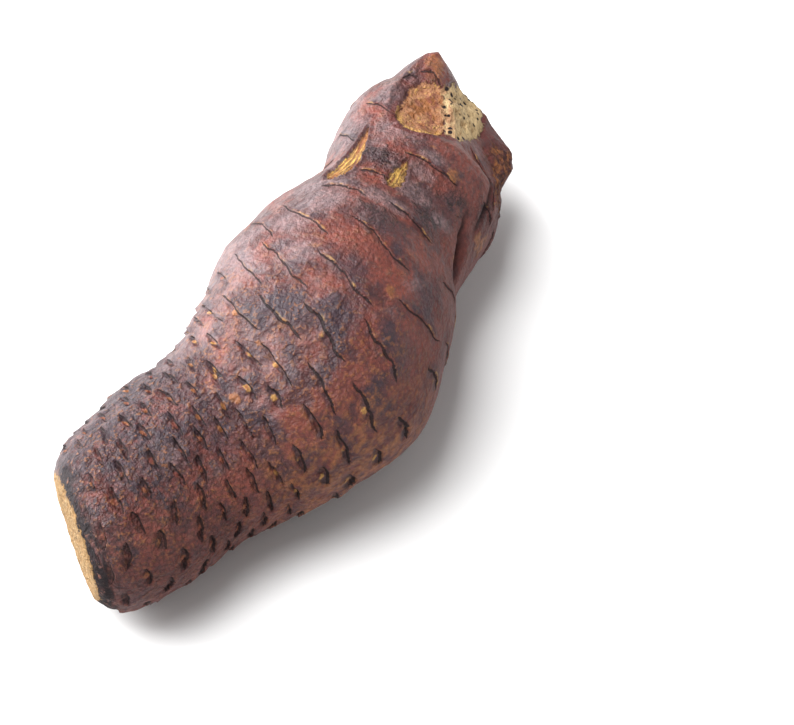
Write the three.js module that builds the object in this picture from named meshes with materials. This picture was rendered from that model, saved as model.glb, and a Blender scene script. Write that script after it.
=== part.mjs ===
// Dried cistanche stem lying on its side: one fleshy, spindle-shaped stem, sawn off at the base,
// torn open at the head and covered in the scars of its fallen scale leaves.
// Millimetres, +Z up. The sawn base points along -X, the head along +X, and the belly rests on Z = 0.
import * as THREE from 'three';
import { ParametricGeometry } from 'three/addons/geometries/ParametricGeometry.js';
import { mergeVertices } from 'three/addons/utils/BufferGeometryUtils.js';

// Driving dimensions of the body.
// Each station is 14 mm further along the stem than the one before it and gives the middle of the
// stem (x, y, z) and its reach to the left, to the right, upward and downward of that middle.
const STATION_STEP = 14;
const STATIONS = [
  { x: -1.0, y: 0.4, z: 21.5, left: 19.6, right: 20.4, top: 19.2, bottom: 19.4 },
  { x: 12.4, y: -5.2, z: 21.0, left: 21.2, right: 22.0, top: 21.4, bottom: 22.0 },
  { x: 26.2, y: -9.2, z: 20.8, left: 23.8, right: 21.8, top: 21.4, bottom: 21.4 },
  { x: 39.3, y: -13.1, z: 21.6, left: 24.0, right: 24.2, top: 22.2, bottom: 21.2 },
  { x: 52.3, y: -17.0, z: 24.0, left: 27.0, right: 28.6, top: 25.0, bottom: 24.0 },
  { x: 66.0, y: -18.6, z: 27.0, left: 29.6, right: 31.4, top: 28.0, bottom: 27.8 },
  { x: 79.8, y: -16.6, z: 27.8, left: 30.0, right: 28.6, top: 28.4, bottom: 28.9 },
  { x: 93.2, y: -12.8, z: 26.8, left: 26.2, right: 25.6, top: 26.2, bottom: 27.0 },
  { x: 106.8, y: -10.2, z: 25.6, left: 18.0, right: 25.6, top: 23.2, bottom: 22.8 },
  { x: 120.4, y: -8.6, z: 25.0, left: 20.8, right: 25.2, top: 22.0, bottom: 21.6 },
  { x: 133.8, y: -5.8, z: 24.6, left: 21.4, right: 20.4, top: 21.0, bottom: 21.6 },
  { x: 147.4, y: -2.6, z: 24.2, left: 19.6, right: 20.0, top: 18.8, bottom: 19.0 },
];

// Base end: the sawn face is narrower than the stem, behind a rounded shoulder, and cut askew.
const CUT_SHARE = 0.62;
const SHOULDER_LENGTH = 8.5;
const CUT_SKEW = 0.2;
const SKEW_LENGTH = 26;
const CUT_DISH = 0.7;

// Head end: a blunt dome from this length on, with three torn faces and two scale tips and a
// knob of core left standing.
const DOME_START = 136;
const DOME_LENGTH = 20;
const DOME_BLUNTNESS = 0.9;
const TEAR_START = 128;
const TEAR_STEP = 3.5;
const STANDING_START = 126;
const STANDING_RISE = 10;

// Torn faces in the head's own directions (ahead, right, up), at a distance from the dome's centre.
const TORN_FACES = [
  { distance: 17.4, ahead: 0.25, right: 0.2, up: 0.95 },
  { distance: 17.4, ahead: 0.62, right: 0.35, up: 0.7 },
  { distance: 16.8, ahead: 0.37, right: 0.69, up: 0.61 },
];
const LEFT_STANDING = [
  { ahead: 21.5, right: -3, up: 17, height: 7.6, spread: 29 },
  { ahead: 9.6, right: 21.5, up: -1, height: 3.1, spread: 25 },
  { ahead: 28, right: 7, up: 6, height: 1.0, spread: 22 },
];
const TIP_SHARPNESS = 1.2;

// Scale-leaf scars follow one spiral: each scar sits this far round from the last one.
const DIVERGENCE = 137.33;
const FIRST_ANGLE = 49.8;
const FIRST_SCAR = 0.54;
const SCAR_SPACING = [[0, 0.32], [35, 0.29], [60, 0.48], [75, 0.85], [90, 1.25], [115, 1.85]];
const SCAR_WIDTH = [[0, 6.2], [45, 7.5], [60, 12.5], [78, 18], [130, 19]];
const LAST_SCAR = 151;
const SCAR_WANDER = 0.45;
const WIDTH_WANDER = 0.15;
const SPIRAL_TILT = -8;

// Broad scars and creases on the upper face, set one by one: how far along the stem in mm,
// how far round it in degrees (0 on top, positive to the right), width in mm and tilt in degrees.
const BROAD_START = 47;
const BROAD_FROM = -72;
const BROAD_TO = 104;
const BROAD_SCARS = [
  [48, -10, 7, 3], [49.5, -40, 8, -6], [48.5, 34, 8, -14], [50, 56, 9.5, -11], [51, -62, 8, -10],
  [51, 10, 7.5, -3], [52, 75, 8, -9], [53, -24, 8.5, -3], [54, 22, 6.5, -9], [55.5, -49, 9, -8],
  [55, 94, 8, -6], [56, 42, 10, -12], [56.5, -3, 9.5, -5], [57, 64, 11, -13], [59.5, 11, 11.5, -14],
  [59, -66, 10, -12], [60, -40, 13, -5], [61, 85, 8, -7], [62, 33, 12.5, -15], [64, -22, 15, -10],
  [64.5, 54, 13.5, -11], [66.5, -62, 11, -20], [66.5, 80, 10, -5], [67, -3, 14.5, -9],
  [69, 17, 15, -14], [70.5, -50, 11, -28], [71.5, 42, 15, -12], [74, -34, 16, -28],
  [74.5, 79, 10, -3], [77, -16, 18, -25], [78.5, 12, 17, -19], [80, 55, 17, 2], [82, 92, 12, -4],
  [86, -40, 14, -31], [88, 21, 18, -17], [89, -19, 17, -26], [90, 72, 10.5, 10],
  [99.5, -9, 12, -4], [99, 32, 15, -11], [107.5, -1, 8, 9], [120, 24, 13, 2], [122, -46, 11, -30],
  [123, 72, 8.5, -5], [130, 63, 15, -48], [132.5, -24, 12, -21], [142.5, -19, 4.5, 20],
  [144, -4, 7.5, 0],
];

// A scar's relief in mm, from the small ones of the lower stem to the broad ones of the belly:
// arch as a share of the width, height of the lip and depth of the pad behind the crevice, how
// far each runs out, and the crevice's width and depth.
const SMALL_WIDTH = 7;
const BROAD_WIDTH = 16;
const SMALL_RELIEF = { arch: 0.03, lip: 0.45, pad: 0.4, lipRun: 1.4, padRun: 1.6, crevice: 0.9 };
const BROAD_RELIEF = { arch: -0.05, lip: 0.5, pad: 0.4, lipRun: 4.5, padRun: 4.0, crevice: 0.9 };
const CREVICE_DEPTH = 0.8;
const END_FADE = 2.2;

// Two lengthwise gashes and the fold where the neck bends: start and end (along, around),
// greatest width and depth.
const FURROWS = [
  { from: [127, -27], to: [102.5, -22], width: 5.2, depth: 1.5 },
  { from: [119.5, 11], to: [106, 12], width: 3.6, depth: 1.2 },
  { from: [113, 60], to: [97, 82], width: 3.4, depth: 2.4 },
];

// Slow unevenness of the dried flesh: two waves in mm, and where the relief fades out at the sawn
// base, toward the head's end point and toward the ground.
const LONG_SWELL = 0.35;
const SHORT_SWELL = 0.2;
const RELIEF_START = 1.5;
const RELIEF_GROWTH = 4;
const RELIEF_END = 147;
const RELIEF_DECAY = 8;
const GROUND_CLEARANCE = 0.4;
const GROUND_FADE = 1.6;

// Fineness of the surface.
const AROUND = 56;
const CUT_RINGS = 3;
const BODY_RINGS = 91;
const DOME_RINGS = 10;
const RING_CROWDING = 0.14;

const radians = THREE.MathUtils.degToRad;
const clamp = THREE.MathUtils.clamp;
const UP = new THREE.Vector3(0, 0, 1);
const STEM_LENGTH = DOME_START + DOME_LENGTH;

function easeInOut(value) {
  const share = clamp(value, 0, 1);
  return share * share * (3 - 2 * share);
}

// Straight-line interpolation in a list of [place, value] pairs.
function along(pairs, place) {
  if (place <= pairs[0][0]) {
    return pairs[0][1];
  }
  for (let i = 1; i < pairs.length; i += 1) {
    if (place <= pairs[i][0]) {
      const share = (place - pairs[i - 1][0]) / (pairs[i][0] - pairs[i - 1][0]);
      return THREE.MathUtils.lerp(pairs[i - 1][1], pairs[i][1], share);
    }
  }
  return pairs[pairs.length - 1][1];
}

const middleLine = new THREE.CatmullRomCurve3(
  STATIONS.map((station) => new THREE.Vector3(station.x, station.y, station.z)),
  false,
  'catmullrom',
  0.5,
);

// Uniform Catmull-Rom through one measure of the stations, the same spline as the middle line.
function measureAt(name, length) {
  const last = STATIONS.length - 1;
  const place = clamp(length / STATION_STEP, 0, last - 1e-9);
  const i = Math.floor(place);
  const share = place - i;
  const value = (k) => {
    if (k < 0) {
      return 2 * STATIONS[0][name] - STATIONS[1][name];
    }
    if (k > last) {
      return 2 * STATIONS[last][name] - STATIONS[last - 1][name];
    }
    return STATIONS[k][name];
  };
  const slopeIn = (value(i + 1) - value(i - 1)) / 2;
  const slopeOut = (value(i + 2) - value(i)) / 2;
  const rise = value(i + 1) - value(i);
  const cubic = slopeIn + slopeOut - 2 * rise;
  const square = 3 * rise - 2 * slopeIn - slopeOut;
  return ((cubic * share + square) * share + slopeIn) * share + value(i);
}

// The stem's middle and its own directions at a length: ahead, right and up.
function stemFrame(length) {
  const share = clamp(length / STATION_STEP / (STATIONS.length - 1), 0, 1);
  const middle = middleLine.getPoint(share);
  const ahead = middleLine.getTangent(share);
  const right = new THREE.Vector3().crossVectors(ahead, UP).normalize();
  const up = new THREE.Vector3().crossVectors(right, ahead);
  return { middle, ahead, right, up };
}

const headFrame = stemFrame(DOME_START);

function direction(part) {
  return new THREE.Vector3()
    .addScaledVector(headFrame.ahead, part.ahead)
    .addScaledVector(headFrame.right, part.right)
    .addScaledVector(headFrame.up, part.up)
    .normalize();
}

const tornFaces = TORN_FACES.map((face) => ({ distance: face.distance, normal: direction(face) }));
const standing = LEFT_STANDING.map((tip) => ({ ...tip, axis: direction(tip) }));

// Pull the head in to the torn faces and push it out where it is left standing, always straight
// from the dome's centre.
function tearHead(point, length) {
  const ray = point.clone().sub(headFrame.middle);
  const whole = ray.length();
  if (length < STANDING_START || whole < 1e-6) {
    return point;
  }
  ray.divideScalar(whole);
  let torn = whole;
  for (const face of tornFaces) {
    const facing = ray.dot(face.normal);
    if (facing > 0.2) {
      torn = Math.min(torn, face.distance / facing);
    }
  }
  let reach = THREE.MathUtils.lerp(whole, torn, easeInOut((length - TEAR_START) / TEAR_STEP));
  const rise = easeInOut((length - STANDING_START) / STANDING_RISE);
  for (const tip of standing) {
    const off = THREE.MathUtils.radToDeg(ray.angleTo(tip.axis));
    const nearness = clamp(1 - off / tip.spread, 0, 1);
    reach += rise * tip.height * nearness ** TIP_SHARPNESS;
  }
  return headFrame.middle.clone().addScaledVector(ray, reach);
}

// The smooth body at a length along the stem and an angle round it, before any scars.
function bodyPoint(length, angle) {
  const bodyLength = Math.min(length, DOME_START);
  const { middle, ahead, right, up } = stemFrame(bodyLength);
  const shoulder = 1 - clamp(length / SHOULDER_LENGTH, 0, 1);
  const dome = clamp((length - DOME_START) / DOME_LENGTH, 0, 1) * Math.PI / 2;
  const narrowing = (CUT_SHARE + (1 - CUT_SHARE) * Math.sqrt(1 - shoulder ** 2))
    * Math.max(Math.cos(dome), 0) ** DOME_BLUNTNESS;
  const sideways = Math.sin(angle);
  const upward = Math.cos(angle);
  const reachAside = measureAt(sideways > 0 ? 'right' : 'left', bodyLength) * sideways * narrowing;
  const reachUp = measureAt(upward > 0 ? 'top' : 'bottom', bodyLength) * upward * narrowing;
  const askew = -CUT_SKEW * reachAside * clamp(1 - length / SKEW_LENGTH, 0, 1) ** 2;
  const point = middle.clone()
    .addScaledVector(right, reachAside)
    .addScaledVector(up, reachUp)
    .addScaledVector(ahead, askew + DOME_LENGTH * Math.sin(dome));
  return tearHead(point, length);
}

function girthRadius(length) {
  const bodyLength = Math.min(length, DOME_START);
  const reach = ['left', 'right', 'top', 'bottom'].map((name) => measureAt(name, bodyLength));
  return (reach[0] + reach[1] + reach[2] + reach[3]) / 4;
}

// Every scar: the spiral ones all round, and the broad ones of the upper face in their place there.
function makeScars() {
  const scars = [];
  let place = FIRST_SCAR;
  for (let n = 0; place < LAST_SCAR; n += 1) {
    const angle = THREE.MathUtils.euclideanModulo(FIRST_ANGLE + n * DIVERGENCE + 180, 360) - 180;
    const wander = SCAR_WANDER * Math.sin(n * 12.9);
    const onBroadSide = place > BROAD_START && angle > BROAD_FROM && angle < BROAD_TO;
    if (!onBroadSide) {
      const width = along(SCAR_WIDTH, place) * (1 + WIDTH_WANDER * Math.sin(n * 7.3));
      scars.push({ place: place + wander, angle, width, tilt: SPIRAL_TILT });
    }
    place += along(SCAR_SPACING, place);
  }
  for (const [broadPlace, angle, width, tilt] of BROAD_SCARS) {
    scars.push({ place: broadPlace, angle, width, tilt });
  }
  return scars;
}

const scars = makeScars();

// One scar's relief: a sharp crevice along its line, a raised lip on the head side of it and a
// sunken pad on the base side.
function scarRelief(scar, length, angle, radius) {
  const step = THREE.MathUtils.euclideanModulo(angle - scar.angle + 180, 360) - 180;
  const aside = radians(step) * radius;
  const ahead = length - scar.place;
  const turn = radians(scar.tilt);
  const across = aside * Math.cos(turn) + ahead * Math.sin(turn);
  const share = Math.abs(across) / (scar.width / 2);
  if (share >= 1) {
    return 0;
  }
  const broad = clamp((scar.width - SMALL_WIDTH) / (BROAD_WIDTH - SMALL_WIDTH), 0, 1);
  const mix = (name) => THREE.MathUtils.lerp(SMALL_RELIEF[name], BROAD_RELIEF[name], broad);
  const arch = mix('arch') * scar.width * (1 - share * share);
  const past = ahead * Math.cos(turn) - aside * Math.sin(turn) - arch;
  const lip = mix('lip') * Math.exp(-past / mix('lipRun'));
  const pad = -mix('pad') * Math.exp(past / mix('padRun'));
  const crevice = CREVICE_DEPTH * Math.exp(-((past / mix('crevice')) ** 2));
  return easeInOut((1 - share) * END_FADE) * ((past > 0 ? lip : pad) - crevice);
}

// A furrow's relief: a lens-shaped trough between its two ends.
function furrowRelief(furrow, length, angle, radius) {
  const start = new THREE.Vector2(radians(furrow.from[1]) * radius, furrow.from[0]);
  const run = new THREE.Vector2(radians(furrow.to[1]) * radius, furrow.to[0]).sub(start);
  const here = new THREE.Vector2(radians(angle) * radius, length).sub(start);
  const share = here.dot(run) / run.lengthSq();
  if (share <= 0 || share >= 1) {
    return 0;
  }
  const off = Math.abs(here.cross(run)) / run.length();
  const bulge = Math.sin(share * Math.PI);
  return -furrow.depth * bulge * Math.exp(-((off / (furrow.width * 0.5)) ** 2));
}

// Slow unevenness of the dried flesh.
function swell(length, angle) {
  const turn = radians(angle);
  return LONG_SWELL * Math.sin(length / 6.5 + 2 * turn) * Math.sin(3 * turn - length / 17)
    + SHORT_SWELL * Math.sin(length / 3.7 - 3 * turn + 1.3);
}

function reliefAt(length, angle) {
  const onSkin = easeInOut((length - RELIEF_START) / RELIEF_GROWTH)
    * (1 - easeInOut((length - RELIEF_END) / RELIEF_DECAY));
  const radius = girthRadius(length);
  let relief = swell(length, angle);
  for (const scar of scars) {
    relief += scarRelief(scar, length, angle, radius);
  }
  for (const furrow of FURROWS) {
    relief += furrowRelief(furrow, length, angle, radius);
  }
  return relief * onSkin;
}

// The finished skin: the body moved along its own normal by the relief, which dies away toward
// the ground, and pressed flat where it would go below it.
function skinPoint(length, angle) {
  const turn = radians(angle);
  const point = bodyPoint(length, turn);
  const nudge = 0.4;
  const turnNudge = 0.02;
  const lower = Math.max(length - nudge, 0);
  const upper = Math.min(length + nudge, STEM_LENGTH);
  const lengthwise = bodyPoint(upper, turn).sub(bodyPoint(lower, turn));
  const roundwise = bodyPoint(length, turn + turnNudge).sub(bodyPoint(length, turn - turnNudge));
  const normal = roundwise.cross(lengthwise).normalize();
  const clearOfGround = easeInOut((point.z - GROUND_CLEARANCE) / GROUND_FADE);
  point.addScaledVector(normal, reliefAt(length, angle) * clearOfGround);
  point.z = Math.max(point.z, 0);
  return point;
}

// Lengths of the rings, closer together where the scars are small.
function ringLengths() {
  const lengths = [];
  for (let i = 0; i <= BODY_RINGS; i += 1) {
    const share = i / BODY_RINGS;
    lengths.push(DOME_START * share * (1 - RING_CROWDING * (1 - share)));
  }
  for (let i = 1; i <= DOME_RINGS; i += 1) {
    lengths.push(DOME_START + DOME_LENGTH * i / DOME_RINGS);
  }
  return lengths;
}

// The whole surface runs from the middle of the sawn face, over its rim, along the skin and
// round the head to its end point.
function stemGeometry() {
  const lengths = ringLengths();
  const rings = CUT_RINGS + lengths.length - 1;
  const cutFrame = stemFrame(0);
  const place = (aroundShare, alongShare, target) => {
    const ring = Math.round(alongShare * rings);
    const step = Math.round(aroundShare * AROUND) % AROUND;
    const angle = step * 360 / AROUND - 180;
    if (ring >= CUT_RINGS) {
      target.copy(skinPoint(lengths[ring - CUT_RINGS], angle));
      return;
    }
    const share = ring / CUT_RINGS;
    const rim = skinPoint(0, angle);
    target.copy(cutFrame.middle).lerp(rim, share);
    target.addScaledVector(cutFrame.ahead, CUT_DISH * (1 - share * share));
  };
  const surface = new ParametricGeometry(place, AROUND, rings);
  surface.deleteAttribute('normal');
  surface.deleteAttribute('uv');
  const merged = mergeVertices(surface, 1e-3);
  return withoutFlatTriangles(merged);
}

// At the two end points a row of triangles has no width, so those are left out.
function withoutFlatTriangles(geometry) {
  const corners = geometry.index.array;
  const kept = [];
  for (let i = 0; i < corners.length; i += 3) {
    const [a, b, c] = [corners[i], corners[i + 1], corners[i + 2]];
    if (a !== b && b !== c && c !== a) {
      kept.push(a, b, c);
    }
  }
  geometry.setIndex(kept);
  return geometry;
}

// Middle of the box at the origin, belly on Z = 0.
function centred(geometry) {
  geometry.computeBoundingBox();
  const box = geometry.boundingBox;
  geometry.translate(-(box.min.x + box.max.x) / 2, -(box.min.y + box.max.y) / 2, -box.min.z);
  geometry.computeVertexNormals();
  return geometry;
}

const driedSkin = new THREE.MeshStandardMaterial({ color: 0x6e4038, roughness: 0.55, metalness: 0 });

const driedStem = new THREE.Mesh(centred(stemGeometry()), driedSkin);
driedStem.name = 'dried_stem';

const stem = new THREE.Group();
stem.add(driedStem);

export default stem;
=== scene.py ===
"""Dried cistanche stem: one fleshy stem lying on its side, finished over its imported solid.

The stem's skin is one surface over two parameters: length, in millimetres along the stem from
the sawn base, and angle, in degrees round it from the top toward the right. Shapes are worked
out in millimetres and put into Blender in metres.
"""

import math

import bpy
import numpy as np
from mathutils import Matrix, Vector


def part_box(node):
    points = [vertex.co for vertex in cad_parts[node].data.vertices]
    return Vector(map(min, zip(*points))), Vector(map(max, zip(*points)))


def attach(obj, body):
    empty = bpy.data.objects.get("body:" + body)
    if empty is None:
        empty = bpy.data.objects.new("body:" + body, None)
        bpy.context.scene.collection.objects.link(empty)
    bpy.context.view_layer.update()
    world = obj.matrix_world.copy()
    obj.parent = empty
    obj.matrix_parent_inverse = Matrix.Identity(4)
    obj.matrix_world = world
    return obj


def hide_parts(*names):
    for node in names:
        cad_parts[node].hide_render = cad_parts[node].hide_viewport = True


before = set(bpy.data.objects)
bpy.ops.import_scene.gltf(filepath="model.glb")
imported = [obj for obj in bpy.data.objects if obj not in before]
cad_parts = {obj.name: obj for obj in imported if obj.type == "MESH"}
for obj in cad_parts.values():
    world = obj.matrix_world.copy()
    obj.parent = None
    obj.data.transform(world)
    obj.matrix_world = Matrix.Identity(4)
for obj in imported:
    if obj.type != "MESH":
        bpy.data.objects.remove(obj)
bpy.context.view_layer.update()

bl_info = {
    "name": "Dried cistanche stem",
    "version": (1, 0, 0),
    "blender": (4, 5, 0),
    "location": "3D View > Sidebar > Dried Stem",
    "description": "Builds a dried, scale-scarred herb stem and the studio it lies in",
    "category": "Add Mesh",
}

NODE = "dried_stem"
MM = 0.001
SEED = 7
LENGTH = {"subtype": "DISTANCE", "unit": "LENGTH"}
ANGLE = {"subtype": "ANGLE", "unit": "ROTATION"}

# The body: every 14 mm along the stem, the middle (x, y, z) and the reach left, right, up and down.
STATION_STEP = 14.0
STATIONS = np.array([
    (-1.0, 0.4, 21.5, 19.6, 20.4, 19.2, 19.4),
    (12.4, -5.2, 21.0, 21.2, 22.0, 21.4, 22.0),
    (26.2, -9.2, 20.8, 23.8, 21.8, 21.4, 21.4),
    (39.3, -13.1, 21.6, 24.0, 24.2, 22.2, 21.2),
    (52.3, -17.0, 24.0, 27.0, 28.6, 25.0, 24.0),
    (66.0, -18.6, 27.0, 29.6, 31.4, 28.0, 27.8),
    (79.8, -16.6, 27.8, 30.0, 28.6, 28.4, 28.9),
    (93.2, -12.8, 26.8, 26.2, 25.6, 26.2, 27.0),
    (106.8, -10.2, 25.6, 18.0, 25.6, 23.2, 22.8),
    (120.4, -8.6, 25.0, 20.8, 25.2, 22.0, 21.6),
    (133.8, -5.8, 24.6, 21.4, 20.4, 21.0, 21.6),
    (147.4, -2.6, 24.2, 19.6, 20.0, 18.8, 19.0),
])
LEFT, RIGHT, TOP, BOTTOM = range(3, 7)

# The sawn base: narrower than the stem, behind a rounded shoulder, cut askew and slightly dished.
CUT_SHARE = 0.62
SHOULDER_LENGTH = 8.5
CUT_SKEW = 0.2
SKEW_LENGTH = 26.0
CUT_DISH = 0.7

# The head: a blunt dome with torn faces (distance, normal), and two scale tips and a knob of core
# left standing (direction, height, spread in degrees), in its own directions (ahead, right, up)
# from the dome's centre. Both come in over a step along the stem.
DOME_START = 136.0
DOME_LENGTH = 20.0
DOME_BLUNTNESS = 0.9
TEAR_START = 128.0
TEAR_STEP = 3.5
LEAST_FACING = 0.2
STANDING_START = 126.0
STANDING_STEP = 10.0
STANDING_SHARPNESS = 1.2
TORN_FACES = (
    (17.4, (0.25, 0.20, 0.95)),
    (17.4, (0.62, 0.35, 0.70)),
    (16.8, (0.37, 0.69, 0.61)),
)
LEFT_STANDING = (
    ((21.5, -3.0, 17.0), 7.6, 29.0),
    ((9.6, 21.5, -1.0), 3.1, 25.0),
    ((28.0, 7.0, 6.0), 1.0, 22.0),
)

# The scars: one spiral all round, and broad scars and creases set one by one on the upper face
# as (length, angle, width, tilt). Spacing and width of the spiral's scars are given as lengths
# along the stem and the values there, and each scar strays a little.
DIVERGENCE = 137.33
FIRST_ANGLE = 49.8
FIRST_SCAR, LAST_SCAR = 0.54, 151.0
SCAR_SPACING = ((0, 35, 60, 75, 90, 115), (0.32, 0.29, 0.48, 0.85, 1.25, 1.85))
SCAR_WIDTH = ((0, 45, 60, 78, 130), (6.2, 7.5, 12.5, 18.0, 19.0))
WIDTH_VARIES = 0.15
SCAR_WANDER = 0.45
SPIRAL_TILT = -8.0
STRAY_AHEAD, STRAY_ANGLE, STRAY_TILT = 0.3, 1.8, 6.0
BROAD_START = 47.0
BROAD_FROM, BROAD_TO = -72.0, 104.0
BROAD_SCARS = (
    (48, -10, 7, 3), (49.5, -40, 8, -6), (48.5, 34, 8, -14), (50, 56, 9.5, -11), (51, -62, 8, -10),
    (51, 10, 7.5, -3), (52, 75, 8, -9), (53, -24, 8.5, -3), (54, 22, 6.5, -9), (55.5, -49, 9, -8),
    (55, 94, 8, -6), (56, 42, 10, -12), (56.5, -3, 9.5, -5), (57, 64, 11, -13),
    (59.5, 11, 11.5, -14), (59, -66, 10, -12), (60, -40, 13, -5), (61, 85, 8, -7),
    (62, 33, 12.5, -15), (64, -22, 15, -10), (64.5, 54, 13.5, -11), (66.5, -62, 11, -20),
    (66.5, 80, 10, -5), (67, -3, 14.5, -9), (69, 17, 15, -14), (70.5, -50, 11, -28),
    (71.5, 42, 15, -12), (74, -34, 16, -28),
    (74.5, 79, 10, -3), (77, -16, 18, -25), (78.5, 12, 17, -19), (80, 55, 17, 2), (82, 92, 12, -4),
    (86, -40, 14, -31), (88, 21, 18, -17), (89, -19, 17, -26), (90, 72, 10.5, 10),
    (99.5, -9, 12, -4), (99, 32, 15, -11), (107.5, -1, 8, 9), (120, 24, 13, 2), (122, -46, 11, -30),
    (123, 72, 8.5, -5), (130, 63, 15, -48), (132.5, -24, 12, -21), (142.5, -19, 4.5, 20),
    (144, -4, 7.5, 0),
)

# A scar's profile in mm, from small to broad at these widths, and drawn out from the long width
# up. A pair is a small scar's value and what a broad one adds to it. A run is the distance over
# which a height falls to a third.
SMALL_WIDTH, BROAD_WIDTH = 9.0, 17.0
LONG_WIDTH, DRAWN_SHARE = 10.0, 0.12
ARCH_SHARE = (0.09, -0.13)
SHORT_WOBBLE, LONG_WOBBLE = 0.12, 0.3
OPENING = (1.0, -0.8)
LEAST_OPENING = 0.05
LIP_BACK, LIP_STEP = (0.2, 0.15), (0.5, 0.4)
SINK_DEPTH = 0.18
SINK_RUN, RISE_RUN = (1.5, 2.5), (1.3, 3.2)
PAD_RUN, PLATE_RUN = (1.6, 2.4), (2.0, 4.5)
LEAN_RUN, THIN_RUN = 0.9, 1.5
SLIT_REACH = 1.7
NODULE_HEIGHT, NODULE_WIDTH, NODULE_LENGTH = 0.6, 1.0, 0.6

# Along the stem, hollows and nodules fade out, thin scale edges come in, and the lip's height
# changes by these shares.
HOLLOWS_FADE, NODULES_FADE = (58.0, 82.0), (66.0, 84.0)
THIN_STARTS = (55.0, 84.0)
LIP_SHARE = ((38, 50, 72, 84, 95, 97), (1.0, 1.6, 1.4, 1.0, 1.0, 1.5))

# Two torn gashes and the folds at the neck: from and to (length, angle), width and depth. The gash
# field is the distance inside a gash plus this margin.
GASH_MARGIN = 3.0
GASHES = (
    ((127.0, -27.0), (102.5, -22.0), 7.4, 0.9),
    ((119.5, 11.0), (106.0, 12.0), 4.2, 0.8),
)
FOLDS = (
    ((113.0, 60.0), (97.0, 82.0), 3.4, 2.4),
    ((132.0, 63.0), (114.0, 72.0), 2.0, 0.7),
    ((119.0, 54.0), (107.0, 66.0), 1.8, 0.6),
)

# The broken flesh at the head, each outline seen from above as corners (ahead, right) in mm. It
# ends below the first height over the dome's centre and fades out at the second.
FLESH_END, FLESH_FADE = -8.0, -3.0
FLESH_REACH = 5.0
FACET = (
    (2, -5), (6, -5.5), (10, -3.5), (11, 0), (10.5, 3), (7, 5), (3, 6.5), (-2, 8), (-6, 7),
    (-8, 3), (-8.3, -1), (-5, -4),
)
PITH = (
    (9.5, 2), (13, 2.5), (19, 4), (21, 10), (13, 13), (8, 14.5), (2, 13), (-2.5, 12), (-3.5, 7.5),
    (2, 5.5),
)
NET = ((5, 15.5), (10, 16.5), (13, 21), (6, 25), (-4, 26), (-12, 25), (-8, 22), (-1, 19.5))

# Stains of the skin, and the pale ovals of painted sheen, as (length, angle, reach along, reach
# aside).
STAINS_AND_SHEEN = {
    "ochre": (
        (117, 86, 5, 2.6), (102, 69, 2, 1.6), (121.5, 36, 2.4, 2.8), (66, 1, 1.3, 1.3),
        (60.5, -2, 1.1, 1.2), (81.5, -6, 1, 2), (80, 32, 1.4, 2.2), (63.5, 82, 3, 2),
        (47, 11, 1.5, 2), (117, 78, 2.5, 2), (125, 18, 0.8, 0.8), (146, -6, 3, 4),
    ),
    "plum": (
        (93, 12, 4, 6), (80, 12, 3.5, 6), (84, 53, 4, 5.5), (69.5, -5, 3.5, 5), (71.5, 18, 4, 5),
        (72.5, 53, 4, 6), (104, 40, 5, 5), (67.5, 66, 3, 5), (114.5, 0, 4, 6), (115.5, 46, 4, 4),
        (35, 22, 6, 8), (23, 10, 7, 9), (12.5, 5, 6, 9), (115, -10, 3, 4), (122, 68, 3, 4),
    ),
    "rust": (
        (72, 30, 3.5, 4.5), (76.5, 49, 3, 4.5), (85, 20, 2.5, 5), (65, 40, 4, 5), (89.5, 46, 3, 4),
        (127, 40, 4, 5), (93, 56, 3, 4), (117, 32, 3.5, 4), (65, 86, 4, 4), (115, 66, 4, 4),
        (146, -4, 5, 6), (61.5, 39, 3.5, 5), (117, -61, 3, 4), (129, 33, 3, 3),
        (127, 2, 2.5, 5), (127, 22, 2.5, 4),
    ),
    # Painted sheen: pale ovals laid where the lights give a broad highlight.
    "pale": (
        (96, -13, 5, 7), (86.5, -24, 4, 6), (76, -42, 5, 6), (121, -46, 5, 5), (80, -12, 3, 5),
        (137, -22, 4, 5), (100.5, 8, 3, 5), (139, 50, 3, 4), (135, -55, 4, 5), (122.5, 22, 2, 4),
        (136, 42, 3, 3), (92.5, -15, 4, 6), (99.5, -29, 4, 6), (126, -36, 4, 4), (113, 11, 3, 3),
        (137, 57, 3, 4), (109, 26, 4, 6), (106, 47, 3, 4), (117, 20, 3, 4), (100, 20, 3, 5),
    ),
}

# Bands of the skin's colours, painted bounce light and the dimming of painted sheen among them:
# lengths over which each starts or ends, before noise shifts them.
SAWN_ENDS = (0.5, 0.8)
CHARRED_ENDS = (7.4, 10.4)
LOWER_ENDS = (36, 68)
MIDDLE = (44, 56, 76, 92)
BOUNCE_LIGHT_BAND = (20, 55, 60, 80)
WRINKLES_START = (85, 115)
SHEEN_DIMS = (98, 108)
RUSTY_GASH = (112, 122)
FACET_EDGE_ENDS = (130.5, 134)
BROW_FADES = (134, 139)

# Lumps of the skin: their size in mm, and their height on the lower part and above it as shares
# of the unevenness. All relief fades at the ground, and all but the lumps at both ends too.
LUMP_SIZE = 3.2
COARSE_LUMPS, FINE_LUMPS = 1.5, 0.7
COARSE_FADE = (50.0, 70.0)
SKIN_STARTS, SKIN_ENDS = (1.5, 5.5), (147.0, 155.0)
GROUND_FADE = (0.4, 2.0)

# Fineness of the skin: rings along, steps round, and how much finer the upper side is.
CUT_RINGS = 9
BODY_RINGS = 266
DOME_RINGS = 54
STEPS_ROUND = 300
FINE_ANGLE = 18.0
FINE_SHARE = 0.35

# The length field goes on below zero over the sawn face. The grain field is drawn out along the
# stem and the hoop field round it: each is a place on a drum of this radius, with one direction
# shortened to this share.
SAWN_SPAN = 13.0
DRUM_RADIUS = 24.0
DRAWN_OUT = 0.13

# What the camera looks at, in metres, and the width of its sensor in millimetres.
VIEW_TARGET = (0.0189, -0.0097, 0.0)
SENSOR_WIDTH = 36

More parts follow.
